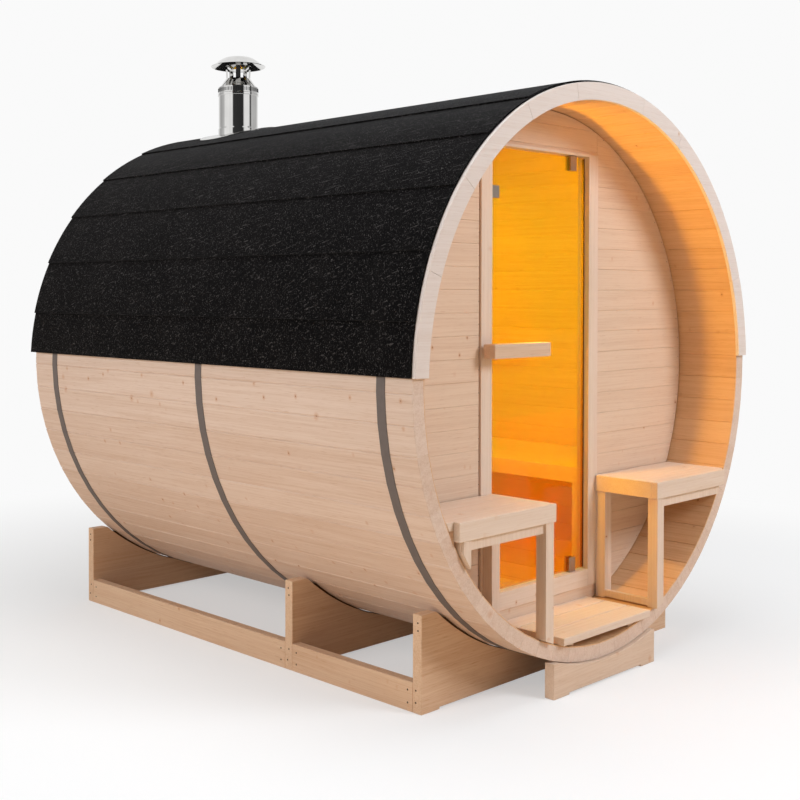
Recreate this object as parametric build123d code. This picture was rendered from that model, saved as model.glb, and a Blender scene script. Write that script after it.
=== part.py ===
from build123d import *
from math import cos, pi, radians, sin, sqrt
import os

# A barrel sauna for a garden: a staved timber barrel lying on three cradles,
# with an open porch and two benches in front of a glass door.
# Millimetres. X runs across the barrel, Y along it from the porch to the rear,
# Z upwards. The origin is on the ground, under the middle of the whole building.

# Barrel
RADIUS = 1000
STAVE_THICKNESS = 53
STAVE_COUNT = 66
STAVES_PER_SEGMENT = 6
STAVE_TURN = -90 - 360 / STAVE_COUNT / 4
JOINT_GROOVE = 3
LENGTH = 2140
AXIS_HEIGHT = 1080
INNER_RADIUS = RADIUS - STAVE_THICKNESS
FIT = 2
LINING_RADIUS = INNER_RADIUS * cos(pi / STAVE_COUNT) - FIT

# Places along the barrel
FRONT_NOSING = 24
ROOF_REAR_OVERHANG = 22
PORCH_DEPTH = 249
WALL_THICKNESS = 45
REAR_WALL_RECESS = 20
FRONT = -(LENGTH + ROOF_REAR_OVERHANG - FRONT_NOSING) / 2
REAR = FRONT + LENGTH
NOSE = FRONT - FRONT_NOSING
WALL_FRONT = FRONT + PORCH_DEPTH
WALL_BACK = WALL_FRONT + WALL_THICKNESS
REAR_WALL_BACK = REAR - REAR_WALL_RECESS
REAR_WALL_FRONT = REAR_WALL_BACK - WALL_THICKNESS

# Door
DOOR_CENTRE = -24.5
OPENING_WIDTH = 585
OPENING_TOP = AXIS_HEIGHT + 790
OPENING_BOTTOM = AXIS_HEIGHT - 776
JAMB_WIDTH = 60
JAMB_PROUD = 6
HEAD_HEIGHT = 10
SILL_HEIGHT = 63
GLASS_THICKNESS = 8
GLASS_SET_BACK = 22
GLASS_GAP = 6
PIVOT_X = 186
CLAMP_WIDTH = 38
CLAMP_HEIGHT = 50
CLAMP_THICKNESS = 9
CLAMP_GAP = 1
PIN_RADIUS = 5
PIN_PLAY = 0.5
PIN_REACH = 8
PIN_SOCKET = 10
HANDLE_LENGTH = 320
HANDLE_SIDE = 50
HANDLE_STAND_OFF = 36
HANDLE_OVERLAP = 66
HANDLE_HEIGHT = AXIS_HEIGHT + 75
HANDLE_POST_RADIUS = 9
HANDLE_POST_INSET = 40
STRIKE_WIDTH = 44
STRIKE_INSET = 12
STRIKE_HEIGHT = 44
STRIKE_THICKNESS = 3
STRIKE_PLACES = (OPENING_TOP - 160, OPENING_BOTTOM + 150)

# Benches
BENCH_INNER = 314
BENCH_TOP = AXIS_HEIGHT - 421
BENCH_DEPTH = 61
SEAT_BOARD = 28
FASCIA = 26
APRON_DROP = 34
LEG_WIDTH = 44
LEG_DEPTH = 40
LEG_INSET = 8
LEG_SET_BACK = 4
APRON_SET_BACK = 14
APRON_THICKNESS = 19
UPRIGHT_INNER = 751
UPRIGHT_OUTER = 785
FOOT_RAIL_HEIGHT = 25
FOOT_RAIL_DROP = 2
CABIN_BENCH_TOP = AXIS_HEIGHT - 402
CABIN_LEG_INSET = 20

# Floors
DECK_TOP = AXIS_HEIGHT - 880
DECK_BOARD = 26
DECK_HALF_WIDTH = 268
DECK_BOARD_WIDTH = 92
DECK_BOARD_GAP = 4
JOIST_INNER = 170
JOIST_OUTER = 250
JOIST_SET_BACK = 6
SHORTEST_BOARD = 10

# Trim and roof
TRIM_OUTER = 1002
TRIM_INNER = 941
TRIM_THICKNESS = 14
ROOF_EDGE_ANGLE = 1.4
COURSE_ANGLES = (10.9, 23.6, 36.7, 50.2, 64.3)
FELT_UNDERSIDE = 1003
FELT_LOW_EDGE = 1012
FELT_HIGH_EDGE = 1006
RIDGE_TOP = 1009

# Hoops
HOOP_WIDTH = 36
HOOP_THICKNESS = 2
HOOP_PLACES = (127, 1020, 1987)
HOOP_CLEARANCE = 0.3

# Cradles and rails
BASE_HALF_WIDTH = 742
BOARD = 38
CRADLE_HEIGHT = 322
CRADLE_PLACES = (190, 806, LENGTH - BOARD)
SHOULDER_RADIUS = 26
CUT_RADIUS = 1040
CUT_GAP = 0.5
FOOT_LENGTH = 90
FOOT_RELIEF = 7
RAIL_HEIGHT = 98
SUPPORT_HALF_WIDTH = 312
SUPPORT_HEIGHT = 120
SUPPORT_SET_OUT = 15

# Chimney, its sections measured from the middle line and from the cap's rim
CHIMNEY_X = -200
CHIMNEY_Y = FRONT + 1758
CHIMNEY_RISE = AXIS_HEIGHT + 1281
SOCKET_RADIUS = 89
PIPE_SECTION = ((84, -381), (89, -381), (89, -279), (87, -274), (87, -132), (84, -132))
COLLAR_SECTION = (
    (85, -132), (90.5, -132), (90.5, -123), (89, -121), (89, -95), (79, -93), (49, -54),
    (47, -55), (77.8, -95.1), (87, -97), (87, -129.5), (85, -129.5),
)
DISH_SECTION = ((0, -16), (36, -16), (56, 0), (54, 1), (35, -14), (0, -14))
STRAP_SECTION = (
    (78, -93), (81, -92.5), (52.5, -52.5), (55, -2), (55, 37.5), (53, 38), (53, -2),
    (50.3, -52), (48.5, -54.5),
)
STRAP_WIDTH = 21
STRAP_COUNT = 5
STRAP_TURN = 230
CAP_CURVE = ((121, 0), (102, 11), (83, 25), (64, 35.5), (42, 41), (0, 43))
CAP_SHEET = 2
FLASHING_UNDERSIDE = 1013
FLASHING_SHEET = 1.5
FLASHING_RADIUS = 170

AXIS = Plane(origin=(0, 0, AXIS_HEIGHT), x_dir=(1, 0, 0), z_dir=(0, -1, 0))
parts = {}


def point(radius, angle):
    """A place on a circle round the barrel's axis, with angle 0 towards +X and 90 up."""
    return radius * cos(radians(angle)), radius * sin(radians(angle))


def along(face, start, end):
    """The solid that a section, drawn about the barrel's axis, sweeps from start to end along Y."""
    return Pos(0, start, 0) * extrude(AXIS * face, amount=-(end - start))


def outline(points):
    return make_face(Polyline(*points, close=True))


def block(x0, x1, y0, y1, z0, z1):
    size = (x1 - x0, y1 - y0, z1 - z0)
    return Pos((x0 + x1) / 2, (y0 + y1) / 2, (z0 + z1) / 2) * Box(*size)


def span(x0, x1, z0, z1):
    """A rectangle in the barrel's section, with its heights above the ground."""
    middle = ((x0 + x1) / 2, (z0 + z1) / 2 - AXIS_HEIGHT)
    return Pos(*middle) * Rectangle(x1 - x0, z1 - z0)


def joint_angle(index):
    return STAVE_TURN + index * 360 / STAVE_COUNT


def stave_segment(first):
    """Flat staves side by side, with a V groove outside at each joint."""
    outer = []
    inner = []
    for index in range(first, first + STAVES_PER_SEGMENT):
        start = Vector(*point(RADIUS, joint_angle(index)))
        end = Vector(*point(RADIUS, joint_angle(index + 1)))
        step = (end - start).normalized() * JOINT_GROOVE
        outer += [start + step, end - step]
        if index < first + STAVES_PER_SEGMENT - 1:
            outer.append(Vector(*point(RADIUS - JOINT_GROOVE, joint_angle(index + 1))))
        inner.append(point(INNER_RADIUS, joint_angle(index)))
    last = joint_angle(first + STAVES_PER_SEGMENT)
    ends = [point(RADIUS - JOINT_GROOVE, joint_angle(first)), point(RADIUS - JOINT_GROOVE, last)]
    inner.append(point(INNER_RADIUS, last))
    loop = [ends[0], *[(v.X, v.Y) for v in outer], ends[1], *reversed(inner)]
    return along(outline(loop), FRONT, REAR)


def sector(radius, start, end):
    """The wedge of a disc between two angles."""
    reach = 2 * radius
    middle = (start + end) / 2
    wedge = outline([(0, 0), point(reach, start), point(reach, middle), point(reach, end)])
    return Circle(radius) & wedge


def ring_arc(inner, outer, start, end):
    return sector(outer, start, end) - Circle(inner)


chimney_foot = Pos(CHIMNEY_X, CHIMNEY_Y, AXIS_HEIGHT + RADIUS)
pipe_hole = chimney_foot * Cylinder(SOCKET_RADIUS + FIT, RADIUS / 2)

# Staved shell
for number in range(STAVE_COUNT // STAVES_PER_SEGMENT):
    parts[f"staves_{number + 1:02d}"] = stave_segment(number * STAVES_PER_SEGMENT) - pipe_hole

# End walls
lining = Circle(LINING_RADIUS)
opening_left = DOOR_CENTRE - OPENING_WIDTH / 2
opening_right = DOOR_CENTRE + OPENING_WIDTH / 2
frame_left = opening_left - JAMB_WIDTH
frame_right = opening_right + JAMB_WIDTH
frame_top = OPENING_TOP + HEAD_HEIGHT
frame_foot = OPENING_BOTTOM - SILL_HEIGHT
wall_top = AXIS_HEIGHT + RADIUS
wall_foot = AXIS_HEIGHT - RADIUS
parts["rear_wall"] = along(lining, REAR_WALL_FRONT, REAR_WALL_BACK)
wall_pieces = {
    "front_wall_left": span(-RADIUS, frame_left, wall_foot, wall_top),
    "front_wall_right": span(frame_right, RADIUS, wall_foot, wall_top),
    "front_wall_top": span(frame_left, frame_right, frame_top, wall_top),
    "front_wall_base": span(frame_left, frame_right, wall_foot, frame_foot),
}
for name, shape in wall_pieces.items():
    parts[name] = along(lining & shape, WALL_FRONT, WALL_BACK)

# Door frame
jamb_front = WALL_FRONT - JAMB_PROUD
parts["door_jamb_left"] = block(
    frame_left, opening_left, jamb_front, WALL_BACK, frame_foot, frame_top
)
parts["door_jamb_right"] = block(
    opening_right, frame_right, jamb_front, WALL_BACK, frame_foot, frame_top
)

# Glass door
glass_front = jamb_front + GLASS_SET_BACK
glass_back = glass_front + GLASS_THICKNESS
glass_middle = (glass_front + glass_back) / 2
glass_left = opening_left + GLASS_GAP
glass_right = opening_right - GLASS_GAP
glass_top = OPENING_TOP - GLASS_GAP
glass_foot = OPENING_BOTTOM + GLASS_GAP
head = block(opening_left, opening_right, jamb_front, WALL_BACK, OPENING_TOP, frame_top)
sill = block(opening_left, opening_right, jamb_front, WALL_BACK, frame_foot, OPENING_BOTTOM)
pin_hole = Cylinder(PIN_RADIUS + PIN_PLAY, 2 * PIN_SOCKET)
head -= Pos(PIVOT_X, glass_middle, OPENING_TOP) * pin_hole
sill -= Pos(PIVOT_X, glass_middle, OPENING_BOTTOM) * pin_hole
parts["door_head_and_sill"] = Compound([head, sill])
parts["door_glass"] = block(
    glass_left, glass_right, glass_front, glass_back, glass_foot, glass_top
)


def clamp(edge, up):
    """Two plates on the glass, and a pin that turns in the frame."""
    z0, z1 = sorted((edge, edge - up * CLAMP_HEIGHT))
    half = CLAMP_WIDTH / 2
    front = block(PIVOT_X - half, PIVOT_X + half, glass_front - CLAMP_THICKNESS, glass_front, z0, z1)
    back = block(PIVOT_X - half, PIVOT_X + half, glass_back, glass_back + CLAMP_THICKNESS, z0, z1)
    rise = GLASS_GAP - CLAMP_GAP
    cap0, cap1 = sorted((edge, edge + up * rise))
    cap = block(
        PIVOT_X - half, PIVOT_X + half,
        glass_front - CLAMP_THICKNESS, glass_back + CLAMP_THICKNESS, cap0, cap1,
    )
    pin0, pin1 = sorted((edge, edge + up * (GLASS_GAP + PIN_REACH)))
    pin = Pos(PIVOT_X, glass_middle, (pin0 + pin1) / 2) * Cylinder(PIN_RADIUS, pin1 - pin0)
    return front + back + cap + pin


parts["door_pivots"] = Compound([clamp(glass_top, 1), clamp(glass_foot, -1)])
handle_back = glass_front - HANDLE_STAND_OFF
handle_left = opening_left - HANDLE_OVERLAP
handle = block(
    handle_left, handle_left + HANDLE_LENGTH, handle_back - HANDLE_SIDE, handle_back,
    HANDLE_HEIGHT - HANDLE_SIDE / 2, HANDLE_HEIGHT + HANDLE_SIDE / 2,
)
for place in (glass_left + HANDLE_POST_INSET, handle_left + HANDLE_LENGTH - HANDLE_POST_INSET):
    post = Pos(place, (handle_back + glass_front) / 2, HANDLE_HEIGHT)
    handle += post * Rot(90, 0, 0) * Cylinder(HANDLE_POST_RADIUS, glass_front - handle_back)
parts["door_handle"] = handle
strikes = []
for height in STRIKE_PLACES:
    strikes.append(
        block(
            glass_left + STRIKE_INSET, glass_left + STRIKE_INSET + STRIKE_WIDTH,
            glass_front - STRIKE_THICKNESS, glass_front,
            height - STRIKE_HEIGHT / 2, height + STRIKE_HEIGHT / 2,
        )
    )
parts["door_strikes"] = Compound(strikes)


# Benches
def reach_at(height):
    """How far the barrel's lining reaches sideways at a height above the ground."""
    return sqrt(LINING_RADIUS ** 2 - (height - AXIS_HEIGHT) ** 2)


def bench_seat(side, inner, top, start, end):
    """A seat of boards with a deep inner edge, cut to the barrel."""
    slab = lining & span(*sorted((side * inner, side * RADIUS)), top - SEAT_BOARD, top)
    lip = lining & span(*sorted((side * inner, side * (inner + FASCIA))), top - BENCH_DEPTH, top)
    return along(slab + lip, start, end)


def straight_board(side, inner, start, thickness, low, high):
    """An upright board across the porch, cut square where its lower corner meets the barrel."""
    return block(
        *sorted((side * inner, side * reach_at(low))), start, start + thickness, low, high
    )


def leg_face(x0, x1, top):
    return lining & span(*sorted((x0, x1)), AXIS_HEIGHT - RADIUS, top)


for side, name in ((-1, "left"), (1, "right")):
    under = BENCH_TOP - BENCH_DEPTH
    seat = bench_seat(side, BENCH_INNER, BENCH_TOP, NOSE + FASCIA, jamb_front)
    front_board = straight_board(side, BENCH_INNER, NOSE, FASCIA, under, BENCH_TOP)
    parts[f"porch_seat_{name}"] = seat + front_board
    leg_in = side * (BENCH_INNER + LEG_INSET)
    leg_out = leg_in + side * LEG_WIDTH
    leg_front = NOSE + LEG_SET_BACK
    front_leg = along(leg_face(leg_in, leg_out, under), leg_front, leg_front + LEG_DEPTH)
    rear_leg = along(leg_face(leg_in, leg_out, under), jamb_front - LEG_DEPTH, jamb_front)
    apron = straight_board(
        side, abs(leg_out), NOSE + APRON_SET_BACK, APRON_THICKNESS, under - APRON_DROP, under
    )
    upright = along(
        leg_face(side * UPRIGHT_INNER, side * UPRIGHT_OUTER, under),
        leg_front, leg_front + LEG_DEPTH,
    )
    foot_rail = block(
        *sorted((leg_in, leg_in + side * APRON_THICKNESS)),
        leg_front + LEG_DEPTH, jamb_front - LEG_DEPTH,
        DECK_TOP - FOOT_RAIL_DROP, DECK_TOP - FOOT_RAIL_DROP + FOOT_RAIL_HEIGHT,
    )
    frame = front_leg + rear_leg + apron + foot_rail
    parts[f"porch_seat_frame_{name}"] = frame + upright if side < 0 else frame

cabin_start = WALL_BACK
cabin_end = REAR_WALL_FRONT
parts["cabin_bench"] = bench_seat(1, BENCH_INNER, CABIN_BENCH_TOP, cabin_start, cabin_end)
cabin_legs = []
cabin_under = CABIN_BENCH_TOP - BENCH_DEPTH
cabin_leg_places = (
    cabin_start + CABIN_LEG_INSET,
    (cabin_start + cabin_end) / 2,
    cabin_end - CABIN_LEG_INSET - LEG_DEPTH,
)
for place in cabin_leg_places:
    face = leg_face(BENCH_INNER + LEG_INSET, BENCH_INNER + LEG_INSET + LEG_WIDTH, cabin_under)
    cabin_legs.append(along(face, place, place + LEG_DEPTH))
parts["cabin_bench_legs"] = Compound(cabin_legs)


# Floors
def deck(start, end):
    boards = []
    front = start
    while front < end - SHORTEST_BOARD:
        back = min(front + DECK_BOARD_WIDTH, end)
        boards.append(
            block(-DECK_HALF_WIDTH, DECK_HALF_WIDTH, front, back, DECK_TOP - DECK_BOARD, DECK_TOP)
        )
        front = back + DECK_BOARD_GAP
    return Compound(boards)


def joists(start, end):
    face = lining & span(JOIST_INNER, JOIST_OUTER, AXIS_HEIGHT - RADIUS, DECK_TOP - DECK_BOARD)
    right = along(face, start, end)
    return Compound([right, mirror(right, Plane.YZ)])


parts["porch_deck"] = deck(NOSE, WALL_FRONT)
parts["cabin_floor"] = deck(cabin_start + FIT, cabin_end - FIT)
parts["floor_joists"] = Compound(
    [joists(FRONT + JOIST_SET_BACK, WALL_FRONT), joists(cabin_start, cabin_end)]
)

# Front trim
parts["front_trim"] = along(
    ring_arc(TRIM_INNER, TRIM_OUTER, ROOF_EDGE_ANGLE, 180 - ROOF_EDGE_ANGLE),
    FRONT - TRIM_THICKNESS, FRONT,
)


# Roof covering
def arc(start, middle, end):
    """A curve through three places, each a radius and an angle about the barrel's axis."""
    return ThreePointArc(point(*start), point(*middle), point(*end))


def roof_side():
    """Courses of felt, each lapped over the one below."""
    edges = []
    stops = [ROOF_EDGE_ANGLE, *COURSE_ANGLES]
    for low, high in zip(stops, stops[1:]):
        middle = ((FELT_LOW_EDGE + FELT_HIGH_EDGE) / 2, (low + high) / 2)
        edges.append(arc((FELT_LOW_EDGE, low), middle, (FELT_HIGH_EDGE, high)))
        reach = FELT_UNDERSIDE if high == stops[-1] else FELT_LOW_EDGE
        edges.append(Line(point(FELT_HIGH_EDGE, high), point(reach, high)))
    half_way = (FELT_UNDERSIDE, (stops[0] + stops[-1]) / 2)
    edges.append(arc((FELT_UNDERSIDE, stops[-1]), half_way, (FELT_UNDERSIDE, stops[0])))
    edges.append(Line(point(FELT_UNDERSIDE, stops[0]), point(FELT_LOW_EDGE, stops[0])))
    return make_face(edges)


def arch(inner, outer, crown, low):
    """A covering over the ridge, thinner or thicker at its crown than at its two low edges."""
    high = 180 - low
    top = arc((outer, low), (crown, 90), (outer, high))
    under = arc((inner, high), (inner, 90), (inner, low))
    return make_face([top, Line(top @ 1, under @ 0), under, Line(under @ 1, top @ 0)])


roof_end = REAR + ROOF_REAR_OVERHANG
right_roof = along(roof_side(), FRONT, roof_end)
ridge = arch(FELT_UNDERSIDE, FELT_LOW_EDGE, RIDGE_TOP, COURSE_ANGLES[-1])
parts["roof_right"] = right_roof
parts["roof_left"] = mirror(right_roof, Plane.YZ)
parts["roof_ridge"] = along(ridge, FRONT, roof_end) - pipe_hole

# Hoops
joints = [joint_angle(index) for index in range(STAVE_COUNT)]
hoop_inner = outline([point(RADIUS + HOOP_CLEARANCE, angle) for angle in joints])
hoop_outer = outline([point(RADIUS + HOOP_THICKNESS, angle) for angle in joints])
hoops = []
for place in HOOP_PLACES:
    start = FRONT + place - HOOP_WIDTH / 2
    hoops.append(along(hoop_outer - hoop_inner, start, start + HOOP_WIDTH))
parts["hoops"] = Compound(hoops)


# Cradles
def cradle(half, height, shoulder):
    """A board across the barrel, hollowed to carry it and relieved between its feet."""
    relief = span(-half + FOOT_LENGTH, half - FOOT_LENGTH, 0, FOOT_RELIEF)
    hollow = Pos(0, CUT_RADIUS - RADIUS - CUT_GAP) * Circle(CUT_RADIUS)
    face = span(-half, half, 0, height) - relief - hollow
    top = face.vertices().sort_by(Axis.Y)[-4:]
    return fillet(top.sort_by(Axis.X)[1:3], shoulder)


for place, name in zip(CRADLE_PLACES, ("front", "middle", "rear")):
    face = cradle(BASE_HALF_WIDTH, CRADLE_HEIGHT, SHOULDER_RADIUS)
    parts[f"cradle_{name}"] = along(face, FRONT + place, FRONT + place + BOARD)
support_front = FRONT - SUPPORT_SET_OUT
parts["front_support"] = along(
    cradle(SUPPORT_HALF_WIDTH, SUPPORT_HEIGHT, FOOT_RELIEF), support_front, support_front + BOARD
)
rails = []
for start, end in zip(CRADLE_PLACES, CRADLE_PLACES[1:]):
    for side in (-1, 1):
        edges = sorted((side * BASE_HALF_WIDTH, side * (BASE_HALF_WIDTH - BOARD)))
        rails.append(block(*edges, FRONT + start + BOARD, FRONT + end, 0, RAIL_HEIGHT))
parts["base_rails"] = Compound(rails)


# Chimney
def turned(face):
    """A section drawn beside the chimney's middle line, from its cap's rim, and turned round it."""
    return Pos(CHIMNEY_X, CHIMNEY_Y, CHIMNEY_RISE) * revolve(Plane.XZ * face, Axis.Z)


parts["chimney_pipe"] = turned(outline(PIPE_SECTION))
cap_top = Spline(*CAP_CURVE)
cap_under = Spline(*[(max(0, reach - CAP_SHEET), rise - CAP_SHEET) for reach, rise in CAP_CURVE])
cap_rim = Line(cap_under @ 0, cap_top @ 0)
cap_middle = Line(cap_top @ 1, cap_under @ 1)
cap = turned(make_face([cap_top, cap_middle, cap_under, cap_rim]))
cowl = turned(outline(COLLAR_SECTION)) + turned(outline(DISH_SECTION)) + cap
strap = extrude(Plane.XZ * outline(STRAP_SECTION), amount=STRAP_WIDTH / 2, both=True)
for index in range(STRAP_COUNT):
    turn = STRAP_TURN + index * 360 / STRAP_COUNT
    cowl += Pos(CHIMNEY_X, CHIMNEY_Y, CHIMNEY_RISE) * Rot(0, 0, turn) * strap
parts["chimney_cowl"] = cowl
plate_top = FLASHING_UNDERSIDE + FLASHING_SHEET
plate = along(
    arch(FLASHING_UNDERSIDE, plate_top, plate_top, COURSE_ANGLES[-1]),
    CHIMNEY_Y - FLASHING_RADIUS, CHIMNEY_Y + FLASHING_RADIUS,
)
disc = chimney_foot * Cylinder(FLASHING_RADIUS, RADIUS / 2)
parts["chimney_flashing"] = (plate & disc) - pipe_hole

os.makedirs("parts", exist_ok=True)
for name, shape in parts.items():
    export_step(shape, f"parts/{name}.step")
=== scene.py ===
import math
import random

import bpy
from mathutils import Matrix, Vector


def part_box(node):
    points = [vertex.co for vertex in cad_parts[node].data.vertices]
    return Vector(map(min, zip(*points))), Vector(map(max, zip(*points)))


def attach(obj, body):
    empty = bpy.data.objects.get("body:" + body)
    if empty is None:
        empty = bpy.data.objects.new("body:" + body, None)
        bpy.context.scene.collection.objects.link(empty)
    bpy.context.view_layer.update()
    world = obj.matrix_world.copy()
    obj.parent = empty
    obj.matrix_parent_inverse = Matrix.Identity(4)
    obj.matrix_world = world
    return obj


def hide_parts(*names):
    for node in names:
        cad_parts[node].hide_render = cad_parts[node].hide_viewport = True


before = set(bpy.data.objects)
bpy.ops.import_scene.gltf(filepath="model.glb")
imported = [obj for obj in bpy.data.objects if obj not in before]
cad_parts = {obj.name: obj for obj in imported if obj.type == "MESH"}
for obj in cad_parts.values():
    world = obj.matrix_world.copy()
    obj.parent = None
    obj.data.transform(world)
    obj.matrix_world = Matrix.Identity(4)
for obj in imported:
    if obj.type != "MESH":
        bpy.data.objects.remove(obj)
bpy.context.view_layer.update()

# The barrel's main sizes, in metres, as the solids have them
AXIS = 1.080
RADIUS = 1.000
STAVE_THICKNESS = 0.053
STAVE_COUNT = 66
STAVE_TURN = -90 - 360 / STAVE_COUNT / 4
STAVES_PER_SEGMENT = 6
LINING_RADIUS = 0.943
TRIM_INNER = 0.941
FASCIA = 0.026
SEAT_BOARD = 0.028
CRADLES = ("cradle_front", "cradle_middle", "cradle_rear")

# Single boards and their joints, which the solids leave out
WALL_BOARD = 0.0787
WALL_JOINT = AXIS + 0.680
HEAD_JOINT = AXIS + 0.890
LEAST_BOARD_HEIGHT = 0.004
LEAST_BOARD_LENGTH = 0.006
JAMB_GAP = 0.005
JAMB_TOP_MARGIN = 0.020
SEAM_DEPTH = 0.006
SEAM_SHORT = 0.004
PORCH_SEAT_BOARDS = 3
CABIN_SEAT_BOARDS = 5
CABIN_SEAT_GAP = 0.002
TRIM_JOINTS = (1.4, 20, 40, 60.5, 76.7, 101, 117.6, 141, 160, 178.6)
TRIM_SLIT = 0.0006
ARC_STEP = 1.4
FEWEST_ARC_STEPS = 6
CIRCLE_POINTS = STAVE_COUNT * 4
MERGE_DISTANCE = 0.00001
SOLID_MERGE_DISTANCE = 0.00002
FLAT_ANGLE = math.radians(0.5)

# How far edges are eased, and the angles past which they are
STAVE_GROOVE = 0.003
LINING_GROOVE = 0.0022
STAVE_END_EASE = 0.0008
BOARD_EASE = 0.0022
REAR_WALL_EASE = 0.0045
JAMB_EASE = 0.0015
HEAD_AND_SILL_EASE = 0.0012
HANDLE_EASE = 0.003
CLAMP_EASE = 0.0008
STRIKE_EASE = 0.0006
BENCH_FRAME_EASE = 0.0018
JOIST_EASE = 0.0015
TRIM_EASE = 0.0012
HOOP_EASE = 0.0006
BASE_EASE = 0.0025
SLOT_EASE = 0.0004
EASED_ANGLE = math.radians(40)
SMOOTH_ANGLE = math.radians(12)
STAVE_SMOOTH_ANGLE = math.radians(25)
CORNER_ROOM = 2.5

# Painted shadow strips beside the glass and under the barrel, nails, screws and the chimney's small
# parts; a head's depth and chamfer are shares of its radius, and the shadow strips' angles are degrees
# round the axis
GAP_SHADOW_WIDTH = 0.0015
GAP_SHADOW_BEFORE_GLASS = 0.001
GAP_SHADOW_BEHIND_GLASS = 0.003
SHADOW_STRIP_RADII = (RADIUS + 0.0006, RADIUS + 0.012)
SHADOW_STRIP_INSET = 0.004
SHADOW_STRIP_MIDDLE = 270
SHADOW_STRIP_SHORT = 2.5
HEAD_SIDES = 12
HEAD_DEPTH = 0.5
HEAD_CHAMFER = 0.2
NAIL_RADIUS = 0.0016
NAIL_FROM_STAVE = 0.014
NAIL_FROM_JAMB = 0.006
SCREW_RADIUS = 0.0032
SCREW_STRAY = 0.006
CRADLE_SCREW_HEIGHTS = (0.035, 0.075, 0.270, 0.295)
RAIL_SCREW_HEIGHTS = (0.028, 0.070)
RAIL_SCREW_INSET = 0.022
PIPE_HOLE_GAP = 0.002
PIPE_HOLE_SIDES = 64
PIPE_MARGIN = 0.003
SLOT_COUNT = 75
SLOT_RADII = (0.0884, 0.0896)
SLOT_HALF_WIDTH = 0.0015
SLOT_HEIGHTS = (0.016, 0.032)

# Colours as they look on a screen, from 0 to 255: a wood's pale and dark streaks, the felt's
# ground and fibres, and the glass's top and foot
BOARDS = ((224, 203, 189), (202, 171, 149))
# The lining's warmer colours are painted warm light from the cabin's lamps
WARM_LIT_LINING = ((224, 186, 146), (202, 155, 112))
WALL_BOARDS = ((225, 200, 178), (208, 174, 148))
FRAME_WOOD = ((229, 210, 194), (214, 188, 166))
TRIM_WOOD = ((227, 217, 212), (213, 197, 188))
SUPPORT_WOOD = ((224, 202, 183), (206, 175, 149))
BASE_WOOD = ((228, 198, 169), (204, 162, 128))
HANDLE_WOOD = ((224, 198, 174), (204, 168, 138))
FELT = ((5, 5, 6), (128, 124, 124))
GLASS = ((255, 200, 20), (246, 112, 0))

# The wood's pattern: each board's shift, the parts of the dark colour that knots keep, and the
# knots' cells to a metre, across and along the board, with a knot's size as a share of its cell
BOARD_SHIFT = 7.3
KNOT_HEART = (0.72, 0.52, 0.38)
KNOT_RING = (0.98, 0.86, 0.72)
SMALL_KNOTS = (33, 44, 0.16)
LARGE_KNOTS = (13, 16, 0.10)

# The studio, whose bands are bearings in degrees and greys of the room that metal mirrors
BACKDROP = (0.955, 0.955, 0.955, 1)
FLOOR_SIZE = 60
FLOOR_COLOUR = (0.95, 0.95, 0.95, 1)
FLOOR_BOUNCE = (0.80, 0.58, 0.37, 1)
FLOOR_GLOW = 0.46
GLOW_NEAR = 1.5
GLOW_FAR = 3.8
SKY_LIGHT = 0.26
SKY_HORIZON = (1.0, 0.88, 0.76, 1)
SKY_WHITE = (1, 1, 1, 1)
ROOM_BANDS = (
    (0, 0.60), (30, 0.95), (80, 0.95), (105, 0.45), (138, 0.60), (146, 1.0), (195, 1.0),
    (200, 0.04), (259, 0.03), (265, 1.0), (298, 1.0), (302, 0.05), (309, 0.10), (314, 0.60),
    (350, 0.55),
)

# The camera: its lens in pixels of the frame's width, its place from the barrel, and its aim
FRAME_PIXELS = 800
LENS_PIXELS = 1190
SENSOR_WIDTH = 36
CAMERA_SHIFT = (0.125, -0.108)
CAMERA_SIDE = -3.598
CAMERA_BEFORE_BARREL = 2.335
CAMERA_OVER_AXIS = 0.2753
CAMERA_DOWN = 0.9908
CAMERA_TURN = 42.66
CAMERA_REACH = 200

dice = random.Random(66)


def linear(red, green, blue):
    """A colour written as it looks on a screen, from 0 to 255, for a shader's socket."""
    parts = [value / 255 for value in (red, green, blue)]
    return (*[p / 12.92 if p <= 0.04045 else ((p + 0.055) / 1.055) ** 2.4 for p in parts], 1)


def scaled(colour, *shares):
    """A colour whose red, green and blue are each brought to a share of their own."""
    return linear(*[value * share for value, share in zip(colour, shares)])


class Value:
    """A node's output, which Python's operators combine."""

    def __init__(self, nodes, socket):
        self.nodes = nodes
        self.socket = socket

    def maths(self, operation, *others):
        values = dict(enumerate((self, *others)))
        return self.nodes.node("Math", values, operation=operation)

    def __add__(self, other):
        return self.maths("ADD", other)

    __radd__ = __add__

    def __sub__(self, other):
        return self.maths("SUBTRACT", other)

    def __rsub__(self, other):
        return self.nodes.node("Math", {0: other, 1: self}, operation="SUBTRACT")

    def __mul__(self, other):
        return self.maths("MULTIPLY", other)

    __rmul__ = __mul__

    def __gt__(self, other):
        return self.maths("GREATER_THAN", other)

    def __lt__(self, other):
        return self.maths("LESS_THAN", other)

    def to(self, low, high, start=0.0, end=1.0):
        """This value's range from low to high, brought smoothly to start and end."""
        values = {0: self, 1: low, 2: high, 3: start, 4: end}
        return self.nodes.node("MapRange", values, interpolation_type="SMOOTHSTEP")


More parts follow.
